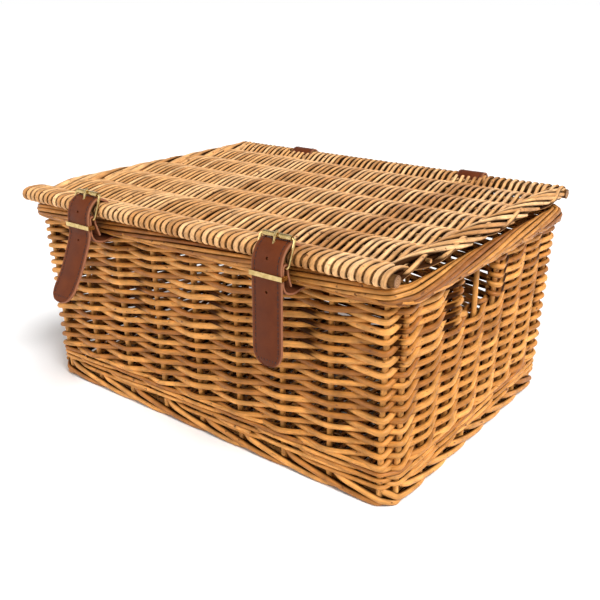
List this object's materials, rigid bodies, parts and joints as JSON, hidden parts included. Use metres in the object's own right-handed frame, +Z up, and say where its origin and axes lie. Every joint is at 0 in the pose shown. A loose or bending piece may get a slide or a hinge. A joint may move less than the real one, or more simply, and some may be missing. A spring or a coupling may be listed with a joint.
{
  "type": "picnic hamper",
  "caption": "Rectangular lidded basket woven from willow rods, with a hinged flat lid, a hand hole in each end and two leather straps closed by brass roller buckles.",
  "frame": {"origin": "on the floor under the middle of the woven base, at the middle of the base panel's footprint", "axes": "+X along the hamper's length to its right end, -Y to the front with the buckles, +Z up out of the lid"},
  "size_m": [0.46, 0.3964, 0.2294],
  "materials": {
    "willow_weave": "woven peeled willow rods, honey coloured, satin",
    "willow_rod": "smooth willow rods and stakes, satin",
    "lid_willow": "woven willow, paler and pinker than the sides, satin",
    "leather": "reddish brown strap leather with a stitched edge",
    "brass": "polished brass-plated wire and strip"
  },
  "bodies": {
    "basket": {"back_left_corner_stake_a": "willow_rod", "back_left_corner_stake_b": "willow_rod", "back_right_corner_stake_a": "willow_rod", "back_right_corner_stake_b": "willow_rod", "back_wall": "willow_weave", "base_panel": "willow_weave", "base_stick_back": "willow_rod", "base_stick_front": "willow_rod", "base_stick_middle": "willow_rod", "foot_back": "willow_rod", "foot_front": "willow_rod", "foot_left": "willow_rod", "foot_right": "willow_rod", "front_left_corner_stake_a": "willow_rod", "front_left_corner_stake_b": "willow_rod", "front_right_corner_stake_a": "willow_rod", "front_right_corner_stake_b": "willow_rod", "front_wall": "willow_weave", "left_chape_root": "leather", "left_hand_hole_stake": "willow_rod", "left_hinge_loop": "leather", "left_wall": "willow_weave", "right_chape_root": "leather", "right_hand_hole_stake": "willow_rod", "right_hinge_loop": "leather", "right_wall": "willow_weave", "rim_back": "willow_rod", "rim_front": "willow_rod", "rim_left": "willow_rod", "rim_right": "willow_rod"},
    "lid": {"left_strap_anchor": "leather", "lid_back_stick": "lid_willow", "lid_border_left": "lid_willow", "lid_border_right": "lid_willow", "lid_front_stick": "lid_willow", "lid_inner_stick_1": "lid_willow", "lid_inner_stick_2": "lid_willow", "lid_inner_stick_3": "lid_willow", "lid_inner_stick_4": "lid_willow", "lid_inner_stick_5": "lid_willow", "lid_panel": "lid_willow", "right_strap_anchor": "leather"},
    "left_strap": {"left_strap": "leather"},
    "left_buckle": {"left_chape": "leather", "left_buckle_frame": "brass"},
    "left_prong": {"left_buckle_prong": "brass"},
    "left_roller": {"left_buckle_roller": "brass"},
    "left_keeper": {"left_strap_keeper": "brass"},
    "right_strap": {"right_strap": "leather"},
    "right_buckle": {"right_chape": "leather", "right_buckle_frame": "brass"},
    "right_prong": {"right_buckle_prong": "brass"},
    "right_roller": {"right_buckle_roller": "brass"},
    "right_keeper": {"right_strap_keeper": "brass"}
  },
  "joints": [
    {"name": "lid_hinge", "type": "hinge", "parent": "basket", "child": "lid", "pos_m": [0, 0.168, 0.2085], "axis": [-1, 0, 0], "range_deg": [0, 105]},
    {"name": "left_strap_fold", "type": "hinge", "parent": "lid", "child": "left_strap", "pos_m": [-0.116, -0.168, 0.2085], "axis": [-1, 0, 0], "range_deg": [-90, 0], "deforming": ["left_strap"]},
    {"name": "left_buckle_fold", "type": "hinge", "parent": "basket", "child": "left_buckle", "pos_m": [-0.116, -0.1625, 0.1797], "axis": [1, 0, 0], "range_deg": [0, 116], "deforming": ["left_chape"]},
    {"name": "left_prong_hinge", "type": "hinge", "parent": "left_buckle", "child": "left_prong", "pos_m": [-0.116, -0.1805, 0.2025], "axis": [1, 0, 0], "range_deg": [0, 52.5]},
    {"name": "left_roller_spin", "type": "hinge", "parent": "left_buckle", "child": "left_roller", "pos_m": [-0.116, -0.1715, 0.2245], "axis": [1, 0, 0], "continuous": true},
    {"name": "left_keeper_slide", "type": "slide", "parent": "left_buckle", "child": "left_keeper", "axis": [0, 0, 1], "range_m": [-0.006, 0]},
    {"name": "right_strap_fold", "type": "hinge", "parent": "lid", "child": "right_strap", "pos_m": [0.116, -0.168, 0.2085], "axis": [-1, 0, 0], "range_deg": [-90, 0], "deforming": ["right_strap"]},
    {"name": "right_buckle_fold", "type": "hinge", "parent": "basket", "child": "right_buckle", "pos_m": [0.116, -0.1625, 0.1797], "axis": [1, 0, 0], "range_deg": [0, 116], "deforming": ["right_chape"]},
    {"name": "right_prong_hinge", "type": "hinge", "parent": "right_buckle", "child": "right_prong", "pos_m": [0.116, -0.1805, 0.2025], "axis": [1, 0, 0], "range_deg": [0, 52.5]},
    {"name": "right_roller_spin", "type": "hinge", "parent": "right_buckle", "child": "right_roller", "pos_m": [0.116, -0.1715, 0.2245], "axis": [1, 0, 0], "continuous": true},
    {"name": "right_keeper_slide", "type": "slide", "parent": "right_buckle", "child": "right_keeper", "axis": [0, 0, 1], "range_m": [-0.006, 0]}
  ],
  "couplings": [
    {"joint": "left_strap_fold", "follows": "lid_hinge", "ratio": -0.857},
    {"joint": "left_buckle_fold", "follows": "lid_hinge", "ratio": 1.1},
    {"joint": "left_prong_hinge", "follows": "lid_hinge", "ratio": 0.5},
    {"joint": "right_strap_fold", "follows": "lid_hinge", "ratio": -0.857},
    {"joint": "right_buckle_fold", "follows": "lid_hinge", "ratio": 1.1},
    {"joint": "right_prong_hinge", "follows": "lid_hinge", "ratio": 0.5}
  ]
}
